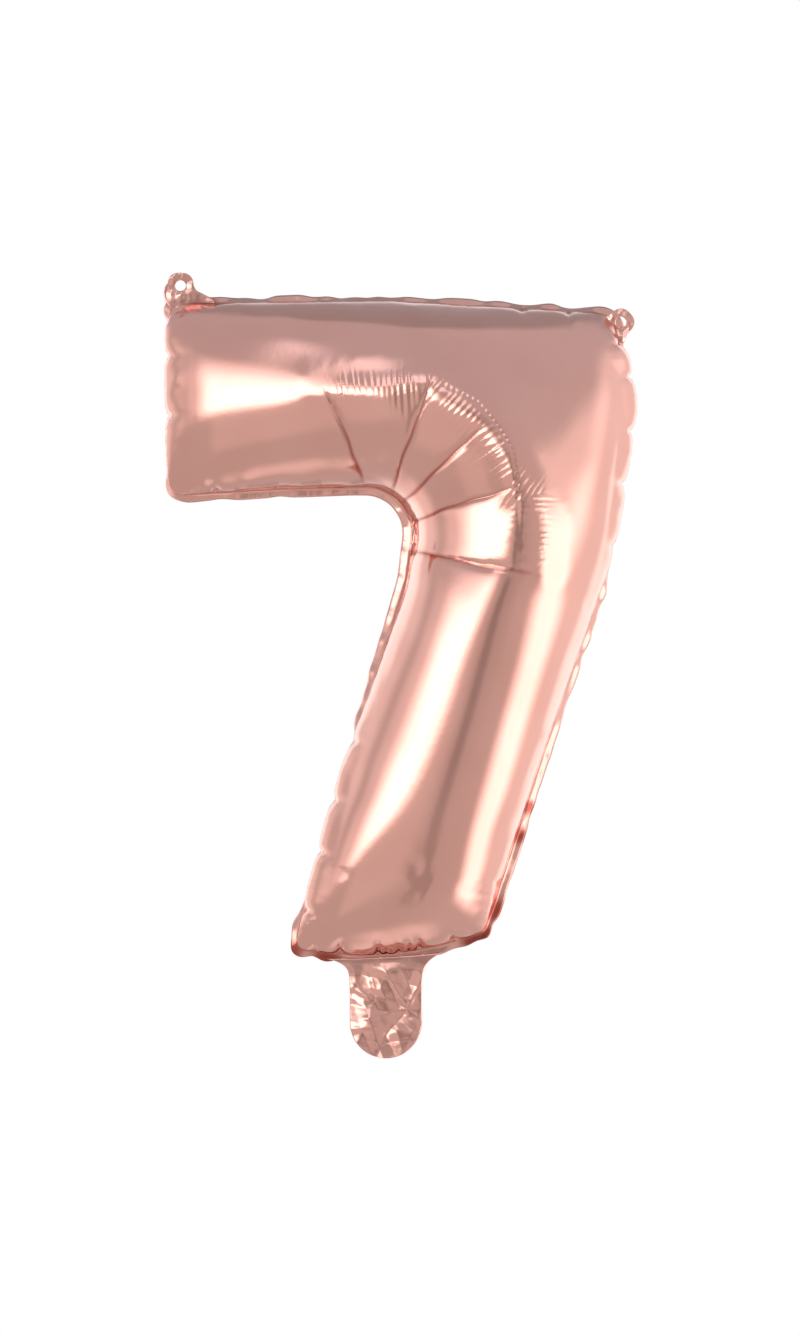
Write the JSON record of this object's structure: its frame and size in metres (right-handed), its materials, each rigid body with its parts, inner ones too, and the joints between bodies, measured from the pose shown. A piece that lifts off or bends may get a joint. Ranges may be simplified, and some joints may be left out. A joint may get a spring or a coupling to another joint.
{
  "type": "foil number balloon",
  "caption": "Inflated foil balloon in the shape of the digit seven, with welded film panels, hanging tabs and a valve tail.",
  "frame": {"origin": "centre of the left hanging tab's hole, on the plane between the two panels", "axes": "the front of the figure faces -Y, its top is +Z, and the bar runs from the left tab along +X"},
  "size_m": [0.2406, 0.1046, 0.401],
  "materials": {
    "foil": "rose gold metallised film, mirror-like with fine wrinkles",
    "valve_film": "clear polyethylene film"
  },
  "bodies": {
    "balloon": {"front_panel": "foil", "back_panel": "foil"},
    "left_tab": {"left_hanging_tab": "foil"},
    "right_tab": {"right_hanging_tab": "foil"},
    "tail": {"tail_front_ply": "foil", "tail_back_ply": "foil", "tail_valve_front_film": "valve_film", "tail_valve_back_film": "valve_film"},
    "valve_front": {"inner_valve_front_leaf": "valve_film"},
    "valve_back": {"inner_valve_back_leaf": "valve_film"}
  },
  "joints": [
    {"name": "left_tab_flex", "type": "hinge", "parent": "balloon", "child": "left_tab", "pos_m": [0, 0, -0.00565], "axis": [1, 0, 0], "range_deg": [-80, 80], "stiffness_Nm_per_rad": 0.00005},
    {"name": "right_tab_flex", "type": "hinge", "parent": "balloon", "child": "right_tab", "pos_m": [0.22112, 0, -0.02192], "axis": [0.6866, 0, -0.727], "range_deg": [-80, 80], "stiffness_Nm_per_rad": 0.00005},
    {"name": "tail_fold", "type": "hinge", "parent": "balloon", "child": "tail", "pos_m": [0.1048, 0, -0.34924], "axis": [1, 0, 0], "range_deg": [-90, 90]},
    {"name": "valve_front_open", "type": "hinge", "parent": "balloon", "child": "valve_front", "pos_m": [0.1048, 0, -0.34064], "axis": [1, 0, 0], "range_deg": [0, 6], "stiffness_Nm_per_rad": 0.0001},
    {"name": "valve_back_open", "type": "hinge", "parent": "balloon", "child": "valve_back", "pos_m": [0.1048, 0, -0.34064], "axis": [1, 0, 0], "range_deg": [-6, 0], "stiffness_Nm_per_rad": 0.0001}
  ],
  "couplings": [
    {"joint": "valve_back_open", "follows": "valve_front_open", "ratio": -1}
  ]
}
